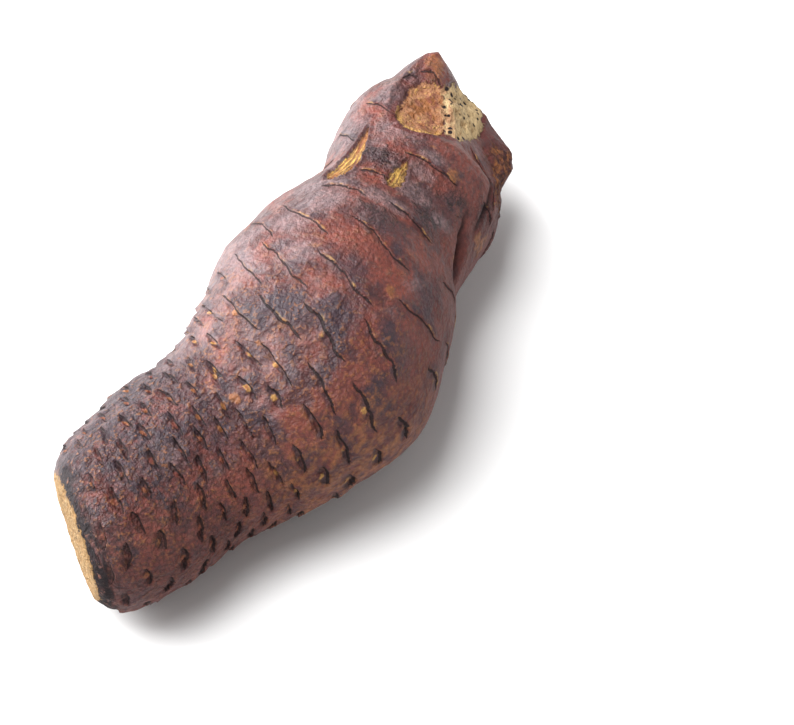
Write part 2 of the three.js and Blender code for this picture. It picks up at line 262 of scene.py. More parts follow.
# The two lights: directions in the camera's own (right, up, back), distances, size and target in
# metres. The floor is a square of this half width.
KEY_DIRECTION, KEY_DISTANCE = (-0.86, 0.50, 0.06), 0.9
TOP_DIRECTION, TOP_DISTANCE = (-0.30, 0.55, 0.80), 1.0
LIGHT_SIZE = 0.6
LIGHT_TARGET = (0, 0, 0.02)
FLOOR_HALF = 3.0

# Large numbers that scramble a lattice corner and a seed into a random value.
CORNER_KEYS = np.array([73856093, 19349663, 83492791])
SEED_KEY = 2654435
FIRST_KEY, SECOND_KEY = 1274126177, 2246822519


def number_setting(label, description, value, **kind):
    """A number that shows in the sidebar."""
    return bpy.props.FloatProperty(name=label, description=description, default=value, **kind)


def height_setting(label, description, value_mm, highest_mm):
    """A height of the skin's relief."""
    limits = {"min": 0.0, "max": highest_mm * MM}
    return number_setting(label, description, value_mm * MM, **limits, **LENGTH)


def angle_setting(label, description, degrees):
    """An angle of the camera."""
    return number_setting(label, description, math.radians(degrees), **ANGLE)


def colour_setting(label, description, value):
    """A colour that shows in the sidebar."""
    return bpy.props.FloatVectorProperty(
        name=label, description=description, default=value, size=3, min=0, max=1, subtype="COLOR")


class StemShape(bpy.types.PropertyGroup):
    """Relief of the stem's skin."""

    scar_depth: height_setting("Scar depth", "How deep a small scale scar is sunk", 0.9, 4)
    lip_height: height_setting("Lip height", "How far skin stands up ahead of a scar", 0.42, 3)
    overhang: height_setting("Overhang", "How far that skin leans back over the scar", 0.4, 2)
    unevenness: height_setting("Unevenness", "Height of the small lumps of dried skin", 0.2, 1)


class StemColours(bpy.types.PropertyGroup):
    """Colours of the stem, painted shade and painted sheen among them."""

    red: colour_setting("Red skin", "Bare red-brown skin", (0.205, 0.054, 0.040))
    brown: colour_setting("Brown skin", "Darker brown skin", (0.085, 0.031, 0.032))
    purple: colour_setting("Purple skin", "Dark purple-grey patches", (0.047, 0.031, 0.043))
    # Painted sheen: the pale lilac of a broad highlight, laid in the colour.
    painted_sheen: colour_setting("Bloom", "Pale waxy bloom", (0.29, 0.205, 0.215))
    ochre: colour_setting("Ochre", "Orange-brown rubbed patches and flecks", (0.33, 0.125, 0.045))
    fibre: colour_setting("Fibre", "Golden fibres of gashes and frayed lips", (0.70, 0.42, 0.11))
    # Painted shade: the near-black laid in scar pits and lines, folds, creases, pebble hollows and
    # pores.
    crevice_shade: colour_setting("Crevice", "The dark inside of a scar", (0.016, 0.009, 0.010))
    char: colour_setting("Charred rim", "Blue-black rim by the sawn face", (0.008, 0.008, 0.011))
    flesh: colour_setting("Flesh", "Pale tan flesh of sawn and broken ends", (0.62, 0.445, 0.235))
    dry: colour_setting("Dry flesh", "Darker specks of sawn and broken ends", (0.34, 0.195, 0.08))
    torn: colour_setting("Torn flesh", "Ochre-brown torn flesh at the head", (0.44, 0.21, 0.11))
    # Deep red of the skin round the torn flesh, also laid as painted shade on the right side.
    brow_red_and_shade: colour_setting("Brow", "Deep red skin round the torn flesh", (0.105, 0.022, 0.019))


class StudioSettings(bpy.types.PropertyGroup):
    """Camera, floor and lights."""

    azimuth: angle_setting("Azimuth", "Camera's way round the stem", -56.2)
    elevation: angle_setting("Elevation", "Camera's height over the horizon", 58.0)
    distance: number_setting("Distance", "Camera's distance from its target", 0.551, **LENGTH)
    lens: number_setting("Lens", "Focal length in millimetres", 100.0)
    key_power: number_setting("Key light", "Light from the upper left", 16.0, unit="POWER")
    top_power: number_setting("Top light", "Light from above", 13.0, unit="POWER")
    sky: number_setting("Sky", "Strength of the even light from all round", 0.38)
    floor: colour_setting("Floor", "Colour of the floor", (0.9, 0.9, 0.9))


def ease(value):
    """Smoothstep: 3v^2 - 2v^3 of the value held between 0 and 1."""
    share = np.clip(value, 0.0, 1.0)
    return share * share * (3.0 - 2.0 * share)


def unit(vectors):
    """Vectors divided by their own length."""
    size = np.linalg.norm(vectors, axis=-1, keepdims=True)
    return vectors / np.maximum(size, 1e-9)


def lattice_noise(points, cell, seed):
    """Smooth noise from -1 to 1: a hashed random value at each corner of cubes with side cell,
    blended between the eight corners round a point by smoothstep weights."""
    place = np.asarray(points, float) / cell
    corner = np.floor(place).astype(np.int64)
    weight = ease(place - corner)
    total = np.zeros(place.shape[:-1])
    for step in np.ndindex(2, 2, 2):
        key = (corner + step) @ CORNER_KEYS + seed * SEED_KEY
        key = (key ^ (key >> 13)) * FIRST_KEY & 0xFFFFFFFF
        key = (key ^ (key >> 15)) * SECOND_KEY & 0xFFFFFFFF
        value = (key ^ (key >> 16)) / 2147483648.0 - 1.0
        share = np.prod(np.where(step, weight, 1.0 - weight), axis=-1)
        total += value * share
    return total


def layered_noise(points, cell, layers, seed):
    """Sum of lattice noises, each with half the cell and half the height of the one before."""
    return sum(lattice_noise(points, cell / 2 ** k, seed + k) / 2 ** k for k in range(layers))


def stations_at(length):
    """Uniform Catmull-Rom spline through the stations: between stations i and i + 1 a cubic whose
    end slopes are half the difference of the neighbours, with mirrored stations past both ends."""
    before = 2 * STATIONS[0] - STATIONS[1]
    after = 2 * STATIONS[-1] - STATIONS[-2]
    knots = np.vstack([before, STATIONS, after])
    place = np.clip(np.asarray(length) / STATION_STEP, 0, len(STATIONS) - 1 - 1e-9)
    i = np.floor(place).astype(int)
    t = (place - i)[..., None]
    a, b, c, d = knots[i], knots[i + 1], knots[i + 2], knots[i + 3]
    slope_in, slope_out, rise = (c - a) / 2, (d - b) / 2, c - b
    cubic = slope_in + slope_out - 2 * rise
    square = 3 * rise - 2 * slope_in - slope_out
    return ((cubic * t + square) * t + slope_in) * t + b


def stem_directions(length):
    """Ahead is the middle line's tangent, right is ahead x Z, and up is right x ahead."""
    nudge = 0.05
    last = (len(STATIONS) - 1) * STATION_STEP
    inner = np.clip(length, nudge, last - nudge)
    ahead = unit(stations_at(inner + nudge)[..., :3] - stations_at(inner - nudge)[..., :3])
    right = unit(np.cross(ahead, (0.0, 0.0, 1.0)))
    return ahead, right, np.cross(right, ahead)


def head_frame():
    """The dome's centre and its directions as rows (ahead, right, up)."""
    centre = stations_at(np.array(DOME_START))[:3]
    return centre, np.array(stem_directions(np.array(DOME_START)))


def tear_head(points, length):
    """Along the ray from the dome's centre: reach = min(dome, distance / cos(ray, normal)) over the
    torn faces, plus height * (1 - angle off it / spread)^1.2 for each thing left standing."""
    centre, directions = head_frame()
    rays = (points - centre) @ directions.T
    whole = np.linalg.norm(rays, axis=-1)
    rays = unit(rays)
    torn = whole.copy()
    for distance, normal in TORN_FACES:
        facing = rays @ unit(np.array(normal))
        limit = distance / np.maximum(facing, LEAST_FACING)
        torn = np.where(facing > LEAST_FACING, np.minimum(torn, limit), torn)
    reach = whole + (torn - whole) * ease((length - TEAR_START) / TEAR_STEP)
    for axis, height, spread in LEFT_STANDING:
        off = np.degrees(np.arccos(np.clip(rays @ unit(np.array(axis)), -1, 1)))
        nearness = np.clip(1 - off / spread, 0, 1) ** STANDING_SHARPNESS
        reach = reach + ease((length - STANDING_START) / STANDING_STEP) * height * nearness
    moved = centre + (rays * reach[..., None]) @ directions
    return np.where((length >= STANDING_START)[..., None], moved, points)


def smooth_body(length, degrees):
    """Ellipse quarters round the middle line: middle + right * (reach aside * sin) +
    up * (reach up or down * cos), narrowed by the shoulder sqrt(1 - (1 - l/L)^2) at the base and
    by cos^0.9 over the dome, which also moves ahead by sin."""
    length, degrees = np.broadcast_arrays(length, degrees)
    body = np.minimum(length, DOME_START)
    station = stations_at(body)
    ahead, right, up = stem_directions(body)
    shoulder = 1 - np.clip(length / SHOULDER_LENGTH, 0, 1)
    dome = np.clip((length - DOME_START) / DOME_LENGTH, 0, 1) * np.pi / 2
    narrowing = CUT_SHARE + (1 - CUT_SHARE) * np.sqrt(1 - shoulder ** 2)
    narrowing = narrowing * np.maximum(np.cos(dome), 0) ** DOME_BLUNTNESS
    sideways, upward = np.sin(np.radians(degrees)), np.cos(np.radians(degrees))
    aside = np.where(sideways > 0, station[..., RIGHT], station[..., LEFT]) * sideways * narrowing
    rise = np.where(upward > 0, station[..., TOP], station[..., BOTTOM]) * upward * narrowing
    askew = -CUT_SKEW * aside * np.clip(1 - length / SKEW_LENGTH, 0, 1) ** 2
    points = (
        station[..., :3]
        + right * aside[..., None]
        + up * rise[..., None]
        + ahead * (askew + DOME_LENGTH * np.sin(dome))[..., None]
    )
    return tear_head(points, length)


def girth_radius(length):
    """Mean of the four reaches."""
    return stations_at(np.minimum(length, DOME_START))[..., LEFT:].mean(axis=-1)


def all_scars(random):
    """Spiral scars, each DIVERGENCE degrees round from the last and a little out of place, without
    those whose place the broad scars of the upper face take, and then the broad ones."""
    scars = []
    place, n = FIRST_SCAR, 0
    while place < LAST_SCAR:
        angle = (FIRST_ANGLE + n * DIVERGENCE + 180) % 360 - 180
        if not (place > BROAD_START and BROAD_FROM < angle < BROAD_TO):
            width = np.interp(place, *SCAR_WIDTH) * (1 + WIDTH_VARIES * math.sin(n * 7.3))
            wander = SCAR_WANDER * math.sin(n * 12.9) + random.normal(0, STRAY_AHEAD)
            tilt = SPIRAL_TILT + random.normal(0, STRAY_TILT)
            scars.append((place + wander, angle + random.normal(0, STRAY_ANGLE), width, tilt))
        place += np.interp(place, *SCAR_SPACING)
        n += 1
    return scars + list(BROAD_SCARS)


def outline_depth(places, corners):
    """How far a place in a plane is inside an outline, negative outside it: the least distance to
    its edges, with the sign from counting the edges that a ray to one side crosses."""
    corners = np.array(corners, float)
    nearest = np.full(places.shape[:-1], np.inf)
    crossings = np.zeros(places.shape[:-1], int)
    for start, end in zip(corners, np.roll(corners, -1, axis=0)):
        edge = end - start
        way = places - start
        share = np.clip(way @ edge / (edge @ edge), 0, 1)
        nearest = np.minimum(nearest, np.linalg.norm(way - share[..., None] * edge, axis=-1))
        spans = (start[1] > places[..., 1]) != (end[1] > places[..., 1])
        rise = edge[1] if edge[1] else 1e-9
        crossing = start[0] + (places[..., 1] - start[1]) * edge[0] / rise
        crossings += spans & (places[..., 0] < crossing)
    return np.where(crossings % 2 == 1, nearest, -nearest)


class Skin:
    """Fields over the skin's grid, rings by steps, that the scars and gashes add to. The field
    past is the signed distance in mm from the nearest scar's line, and slit is how near it is."""

    NAMES = ("relief", "slide", "slit", "pit", "pad", "plate", "nodule", "thin", "fold", "gash")
    FAR_PAST = 4.0

    def __init__(self, length, degrees):
        self.length, self.degrees = length, degrees
        shape = np.broadcast_shapes(length.shape, degrees.shape)
        self.fields = {name: np.zeros(shape) for name in (*self.NAMES, *STAINS_AND_SHEEN)}
        self.fields["past"] = np.full(shape, self.FAR_PAST)

    def window(self, place, angle, ahead_reach, aside_reach):
        """Rows and columns near one place, with their distances (aside, ahead) from it."""
        ahead = self.length[:, 0] - place
        step = (self.degrees[0] - angle + 180) % 360 - 180
        rows = np.nonzero(np.abs(ahead) < ahead_reach)[0]
        radius = girth_radius(self.length[rows, 0])
        columns = np.nonzero(np.abs(np.radians(step)) * radius.max() < aside_reach)[0]
        aside = np.radians(step[columns])[None, :] * radius[:, None]
        return np.ix_(rows, columns), aside, ahead[rows][:, None] + 0 * aside

    def add(self, block, **values):
        """Adds to each named field."""
        for name, value in values.items():
            self.fields[name][block] += value

    def raise_to(self, block, **values):
        """Keeps the larger of each named field and its new value."""
        for name, value in values.items():
            self.fields[name][block] = np.maximum(self.fields[name][block], value)

    def mark_line(self, block, past, nearness):
        """Keeps the distance from whichever scar is nearest."""
        nearer = nearness > self.fields["slit"][block]
        self.fields["past"][block] = np.where(nearer, past, self.fields["past"][block])
        self.raise_to(block, slit=nearness)


def ramp(place, start, end):
    """Smoothstep from 0 at start to 1 at end."""
    return ease((place - start) / (end - start))


def sized(pair, broad):
    """A small scar's value plus, as far as a scar is broad, what a broad one adds to it."""
    return pair[0] + pair[1] * broad


def cut_scar(skin, scar, shape, random):
    """past is the distance ahead of the scar's line, which bends by arch (1 - s^2) for a share s of
    the half width, ahead for a small scar and back for a broad one, and wobbles a little. Ahead of
    the line the skin stands up as e^(-past/run) and leans back over it, and behind it the skin
    sinks as e^(past/run). A small scar has a lens-shaped hollow behind its line, a broad one is
    only a slit, and those of the lower half have a nodule, a bell behind the line's middle."""
    place, angle, width, tilt = scar
    reach = width / 2 * (1 + DRAWN_SHARE * (width > LONG_WIDTH))
    block, aside, ahead = skin.window(place, angle, reach + 14, reach * 1.2 + 5)
    turn = math.radians(tilt)
    across = aside * math.cos(turn) + ahead * math.sin(turn)
    share = np.abs(across) / reach
    broad = min(max((width - SMALL_WIDTH) / (BROAD_WIDTH - SMALL_WIDTH), 0), 1)
    hollow = (1 - broad) * (1 - ramp(place, *HOLLOWS_FADE))
    phase = random.uniform(0, 2 * math.pi, 2)
    wobble = SHORT_WOBBLE * np.sin(1.2 * across + phase[0])
    wobble = wobble + LONG_WOBBLE * broad * np.sin(0.5 * across + phase[1])
    arch = sized(ARCH_SHARE, broad) * width
    past = ahead * math.cos(turn) - aside * math.sin(turn) - arch * (1 - share ** 2) + wobble
    lens = np.clip(1 - share ** 2, 0, 1)
    fade = ease((1 - share) * 2.2)
    opening = sized(OPENING, broad) * random.uniform(0.7, 1.15) * lens + LEAST_OPENING
    inner = past / opening + 1
    pit = ease((inner + 1.1) / 1.4) * (1 - ease((inner - 0.7) / 0.6)) * lens ** 0.5 * (share < 1)
    behind, before = np.minimum(past + opening, 0), np.maximum(past, 0)
    head_side = ease((past + sized(LIP_BACK, broad)) / sized(LIP_STEP, broad))
    sink = SINK_DEPTH * fade * np.exp(behind / sized(SINK_RUN, broad)) * (1 - head_side)
    lip = (shape.lip_height / MM) * random.uniform(0.7, 1.2) * np.interp(place, *LIP_SHARE)
    rise = lip * fade * np.exp(-before / sized(RISE_RUN, broad)) * head_side
    relief = rise - sink - (shape.scar_depth / MM) * hollow * pit
    lean = (shape.overhang / MM) * hollow * fade * head_side * np.exp(-before / LEAN_RUN)
    nearness = ease((1 - share) * 3) * np.clip(1 - (past / SLIT_REACH) ** 2, 0, 1)
    thin = (1 - hollow) * (0.25 + 0.75 * ramp(place, *THIN_STARTS))
    thin = thin * fade * np.exp(-np.abs(past) / THIN_RUN)
    side_fade = ease(1.25 - share)
    strength = random.uniform(0.5, 1.0, 2)
    pad = strength[0] * side_fade * np.exp(np.minimum(past, 0) / sized(PAD_RUN, broad))
    pad = pad * (past < 0.3)
    plate = strength[1] * side_fade * np.exp(-before / sized(PLATE_RUN, broad)) * head_side
    off_nodule = past + np.maximum(opening, broad)
    spot = np.exp(-(across / NODULE_WIDTH) ** 2 - (off_nodule / NODULE_LENGTH) ** 2)
    spot *= 1 - ramp(place, *NODULES_FADE)
    nodule = spot * random.uniform(0.3, 1.1)
    skin.add(block, relief=relief, slide=-lean)
    skin.add(block, relief=NODULE_HEIGHT * spot)
    skin.mark_line(block, past, nearness)
    skin.raise_to(block, pit=pit * hollow, thin=thin, pad=pad, plate=plate, nodule=nodule)


def furrow_places(skin, start, end):
    """Share of the way along a furrow, and distance off its line in millimetres."""
    length, degrees = np.broadcast_arrays(skin.length, skin.degrees)
    radius = girth_radius(length)
    aside = np.radians(degrees - start[1]) * radius
    run_aside = math.radians(end[1] - start[1]) * radius
    run_ahead = end[0] - start[0]
    size = run_aside ** 2 + run_ahead ** 2
    share = (aside * run_aside + (length - start[0]) * run_ahead) / size
    off = (aside * run_ahead - (length - start[0]) * run_aside) / np.sqrt(size)
    return share, off


def cut_fold(skin, start, end, width, depth):
    """A trough -depth sin(pi share) e^-(off / half width)^2, with painted shade within 0.36 of its
    width.
    """
    share, off = furrow_places(skin, start, end)
    along = np.sin(np.pi * np.clip(share, 0, 1))
    skin.fields["relief"] -= depth * along * np.exp(-(off / (width / 2)) ** 2)
    dark = along * np.exp(-(off / (0.36 * width)) ** 2)
    skin.fields["fold"] = np.maximum(skin.fields["fold"], dark)


def tear_gash(skin, start, end, width, depth):
    """An opening that widens toward its base end as 2.6 s^1.4 (1 - s)^0.45, frayed by two sines.
    Inside, the skin is sunk by depth and ridged along its run by |sin| of the distance off the
    line, and its edges stand up by a narrow bell."""
    share, off = furrow_places(skin, start, end)
    held = np.clip(share, 0, 1)
    spindle = 2.6 * held ** 1.4 * (1 - held) ** 0.45
    fray = 0.35 * np.sin(share * 31) + 0.2 * np.sin(share * 77 + 1)
    edge = width / 2 * spindle + spindle * fray
    depth_inside = np.where((share > 0) & (share < 1), edge - np.abs(off), -GASH_MARGIN)
    inside = ease(depth_inside / 0.6 + 0.3)
    ridges = 0.4 * np.abs(np.sin(off * 3.1 + 1.2 * np.sin(share * 9)))
    skin.fields["relief"] += inside * (ridges - depth)
    skin.fields["relief"] += 0.45 * np.exp(-((depth_inside + 0.45) / 0.4) ** 2)
    field = np.clip(depth_inside + GASH_MARGIN, 0, 2 * GASH_MARGIN)
    skin.fields["gash"] = np.maximum(skin.fields["gash"], field)


def oval_patch(skin, name, place, angle, reach_ahead, reach_aside):
    """A soft-edged oval of a stain or of a patch of painted sheen: e^-(distance in reaches)^2."""
    block, aside, ahead = skin.window(place, angle, reach_ahead * 2.5, reach_aside * 2.5)
    oval = np.exp(-(ahead / reach_ahead) ** 2 - (aside / reach_aside) ** 2)
    skin.raise_to(block, **{name: oval})


def ring_lengths():
    """Even steps up to the dome and even steps of its quarter turn after it."""
    body = DOME_START * np.arange(BODY_RINGS + 1) / BODY_RINGS
    dome = DOME_START + DOME_LENGTH * np.arange(1, DOME_RINGS + 1) / DOME_RINGS
    return np.concatenate([body, dome])


def steps_round():
    """Angles t - share sin(t - fine angle), which crowd together round the fine angle."""
    turn = 2 * np.pi * np.arange(STEPS_ROUND) / STEPS_ROUND - np.pi
    return np.degrees(turn - FINE_SHARE * np.sin(turn - math.radians(FINE_ANGLE)))


def broken_flesh(points, length):
    """Distances in mm inside the three outlines of broken flesh, seen from above the head."""
    centre, directions = head_frame()
    places = (points - centre) @ directions.T
    height = places[..., 2]
    outside = (length < STANDING_START) | (height < FLESH_END)
    depths = {}
    for name, corners in (("facet", FACET), ("pith", PITH), ("net", NET)):
        inside = np.minimum(outline_depth(places[..., :2], corners), height - FLESH_FADE)
        inside = np.clip(inside, -FLESH_REACH, FLESH_REACH)
        depths[name] = np.where(outside, -FLESH_REACH, inside)
    return depths


def slow_swell(length, radians):
    """Long soft waves: 0.35 sin(l/6.5 + 2a) sin(3a - l/17) + 0.2 sin(l/3.7 - 3a + 1.3) in mm."""
    swell = 0.35 * np.sin(length / 6.5 + 2 * radians) * np.sin(3 * radians - length / 17)
    return swell + 0.2 * np.sin(length / 3.7 - 3 * radians + 1.3)


def torn_relief(points, flesh, bare, broken):
    """Broken flesh lies 0.4 mm under the skin with lumps on it, and a narrow bell of skin stands
    up along the torn face's edge."""
    rim = np.exp(-((flesh["facet"] + 0.8) / 0.6) ** 2)
    return -0.4 * bare + 0.15 * rim + broken * 0.5 * layered_noise(points, 2.6, 3, SEED + 9)


def skin_surface(shape):
    """The stem's points on a grid of rings by steps, with its fields: the smooth body, moved along
    its own normal by the relief and along the stem by the slide, and pressed flat at Z = 0."""
    length = ring_lengths()[:, None]
    degrees = steps_round()[None, :]
    points = smooth_body(length, degrees)
    turn = np.roll(points, -1, axis=1) - np.roll(points, 1, axis=1)
    normal = unit(np.cross(turn, np.gradient(points, axis=0)))
    flesh = broken_flesh(points, length)
    skin = Skin(length, degrees)
    random = np.random.default_rng(SEED)
    for scar in all_scars(random):
        cut_scar(skin, scar, shape, random)
    for start, end, width, depth in FOLDS:
        cut_fold(skin, start, end, width, depth)
    for start, end, width, depth in GASHES:
        tear_gash(skin, start, end, width, depth)
    for name, ovals in STAINS_AND_SHEEN.items():
        for oval in ovals:
            oval_patch(skin, name, *oval)
    fields = skin.fields
    radians = np.radians(degrees)
    coarse = COARSE_LUMPS + (FINE_LUMPS - COARSE_LUMPS) * ramp(length, *COARSE_FADE)
    lumps = (shape.unevenness / MM) * coarse * layered_noise(points, LUMP_SIZE, 3, SEED)
    on_skin = ramp(length, *SKIN_STARTS) * (1 - ramp(length, *SKIN_ENDS))
    facet, pith, net = (ease(flesh[name] / 0.8 + 0.5) for name in ("facet", "pith", "net"))
    bare = np.maximum(facet, pith)
    broken = np.maximum(bare, net)
    above_ground = ramp(points[..., 2], *GROUND_FADE)
    relief = (
        fields["relief"] * on_skin * (1 - broken)
        + slow_swell(length, radians) * on_skin
        + lumps
        + torn_relief(points, flesh, bare, broken)
    )
    ahead, _, _ = stem_directions(np.minimum(length, DOME_START))
    slide = fields["slide"] * on_skin * (1 - broken) * above_ground
    points = points + normal * (relief * above_ground)[..., None] + ahead * slide[..., None]
    points[..., 2] = np.maximum(points[..., 2], 0.0)
    for name in ("slit", "pit", "pad", "plate", "nodule", "thin"):
        fields[name] = fields[name] * (1 - broken) * on_skin
    fields.update(flesh)
    fields["length"] = length + 0 * degrees
    fields["side"] = 0 * length + np.sin(radians)
    return points, fields


def sawn_rings(rim):
    """From the middle of the sawn face out to its rim: straight lines to each rim point, sunk by
    (dish + small lumps) (1 - s^4) for a share s of the way."""
    share = (np.arange(CUT_RINGS) / CUT_RINGS)[:, None, None]
    middle = stations_at(np.array(0.0))[:3]
    ahead, _, _ = stem_directions(np.array(0.0))
    points = middle + (rim[None] - middle) * share
    lumps = 0.22 * layered_noise(points, 3.0, 3, SEED + 21)
    sink = (CUT_DISH + lumps) * (1 - share[..., 0] ** 4)
    return points + ahead * sink[..., None]


def grid_faces(rings, steps):
    """Quads between neighbouring rings of a grid that closes on itself round each ring."""
    ring = np.arange(rings - 1)[:, None] * steps
    step = np.arange(steps)[None, :]
    following = (step + 1) % steps
    corners = (ring + step, ring + following, ring + steps + following, ring + steps + step)
    return np.stack(corners, -1).reshape(-1, 4)


def mesh_object(name, points, quads, triangles, attributes, material):
    """A smooth mesh from arrays, with one float or vector attribute for each named array."""
    mesh = bpy.data.meshes.new(name)
    mesh.vertices.add(len(points))
    mesh.vertices.foreach_set("co", np.ascontiguousarray(points, np.float32).ravel())
    corners = np.concatenate([quads.ravel(), triangles.ravel()]).astype(np.int32)
    totals = np.repeat(np.array([4, 3], np.int32), [len(quads), len(triangles)])
    starts = np.concatenate([[0], np.cumsum(totals)[:-1]]).astype(np.int32)
    mesh.loops.add(len(corners))
    mesh.loops.foreach_set("vertex_index", corners)
    mesh.polygons.add(len(totals))
    mesh.polygons.foreach_set("loop_start", starts)
    mesh.polygons.foreach_set("loop_total", totals)
    mesh.polygons.foreach_set("use_smooth", np.ones(len(totals), bool))
    mesh.update()
    mesh.validate()
    for label, values in attributes.items():
        kind, field = ("FLOAT_VECTOR", "vector") if values.ndim == 2 else ("FLOAT", "value")
        layer = mesh.attributes.new(label, kind, "POINT")
        layer.data.foreach_set(field, np.ascontiguousarray(values, np.float32).ravel())
    mesh.materials.append(material)
    piece = bpy.data.objects.new(name, mesh)
    bpy.context.collection.objects.link(piece)
    return piece


class Link:
    """A socket in a material's node tree. Arithmetic on it adds Math nodes."""

    def __init__(self, shader, socket):
        self.shader, self.socket = shader, socket

    def math(self, operation, *values, clamp=False):
        """A Math node over these values."""
        settings = {"operation": operation, "use_clamp": clamp}
        return self.shader.node("ShaderNodeMath", settings, dict(enumerate(values)))

    def __add__(self, other):
        return self.math("ADD", self, other)

    def __sub__(self, other):
        return self.math("SUBTRACT", self, other)

    def __rsub__(self, other):
        return self.math("SUBTRACT", other, self)

    def __mul__(self, other):
        return self.math("MULTIPLY", self, other)

    __radd__, __rmul__ = __add__, __mul__

    def __abs__(self):
        return self.math("ABSOLUTE", self)

    def held(self):
        """The value held between 0 and 1."""
        return self.math("ADD", self, 0.0, clamp=True)

    def over(self, other):
        """The larger of two values."""
        return self.math("MAXIMUM", self, other)

    def step(self, low, high):
        """Smoothstep from 0 at low to 1 at high."""
        settings = {"interpolation_type": "SMOOTHSTEP"}
        sockets = {"Value": self, "From Min": low, "From Max": high}
        return self.shader.node("ShaderNodeMapRange", settings, sockets)

    def band(self, start, full, fading, end):
        """0 before start, 1 from full to fading, and 0 after the end."""
        return self.step(start, full) * (1 - self.step(fading, end))

    def creases(self, width=0.07):
        """1 along the places where a noise passes its middle, 0 elsewhere: thin winding lines."""
        return 1 - abs(self - 0.5).step(0.0, width)


class Shader:
    """A new material whose one surface is a Principled BSDF."""

    def __init__(self, name):
        self.material = bpy.data.materials.new(name)
        self.material.use_nodes = True
        self.tree = self.material.node_tree
        self.surface = self.tree.nodes["Principled BSDF"]
        self.place = self.node("ShaderNodeTexCoord", output="Object")
        self.colour = None

    def node(self, kind, settings=None, sockets=None, output=0):
        """Adds a node, sets its settings first, then its sockets, and gives one output."""
        made = self.tree.nodes.new(kind)
        for key, value in (settings or {}).items():
            setattr(made, key, value)
        for key, value in (sockets or {}).items():
            self.feed(made.inputs[key], value)
        return Link(self, made.outputs[output])

    def feed(self, socket, value):
        """Links a Link, or sets a plain value."""
        if isinstance(value, Link):
            self.tree.links.new(value.socket, socket)
        elif socket.type == "RGBA":
            socket.default_value = (*value[:3], 1.0)
        else:
            socket.default_value = value

    def attribute(self, name, output="Fac"):
        """A field of the mesh."""
        return self.node("ShaderNodeAttribute", {"attribute_name": name}, output=output)

    def noise(self, size_mm, detail=3.0, roughness=0.55):
        """Noise with lumps of about this size, from 0 to 1 about 0.5."""
        sockets = {"Scale": 1 / (size_mm * MM), "Detail": detail, "Roughness": roughness}
        return self.node("ShaderNodeTexNoise", None, {"Vector": self.place, **sockets}, "Fac")

    def pebbles(self, size_mm):
        """Rounded bumps of about this size, 1 on top: 1 less the squared distance from the nearest
        of many scattered points."""
        sockets = {"Vector": self.place, "Scale": 1 / (size_mm * MM)}
        off = self.node("ShaderNodeTexVoronoi", None, sockets, "Distance")
        return 1 - off * off

    def strands(self, size_mm, detail=2.0, field="grain"):
        """Noise drawn out along the stem, or round it with the hoop field. Both are in mm."""
        place = self.attribute(field, "Vector")
        sockets = {"Vector": place, "Scale": 1 / size_mm, "Detail": detail, "Roughness": 0.55}
        return self.node("ShaderNodeTexNoise", None, sockets, "Fac")

    def mix(self, share, first, second):
        """Colour: first where share is 0, second where it is 1."""
        settings = {"data_type": "RGBA", "clamp_factor": True}
        return self.node("ShaderNodeMix", settings, {0: share, 6: first, 7: second}, 2)

    def lay(self, share, colour):
        """Covers the colour so far with another one where share is 1."""
        self.colour = self.mix(share, self.colour, colour)

    def finish(self, roughness, height_mm, specular):
        """Feeds the surface: the colour, a roughness and a Bump whose height is in mm."""
        bump = self.node("ShaderNodeBump", None, {"Height": height_mm, "Distance": MM}, "Normal")
        self.feed(self.surface.inputs["Base Color"], self.colour)
        self.feed(self.surface.inputs["Roughness"], roughness)
        self.feed(self.surface.inputs["Normal"], bump)
        self.feed(self.surface.inputs["Specular IOR Level"], specular)
        return self.material


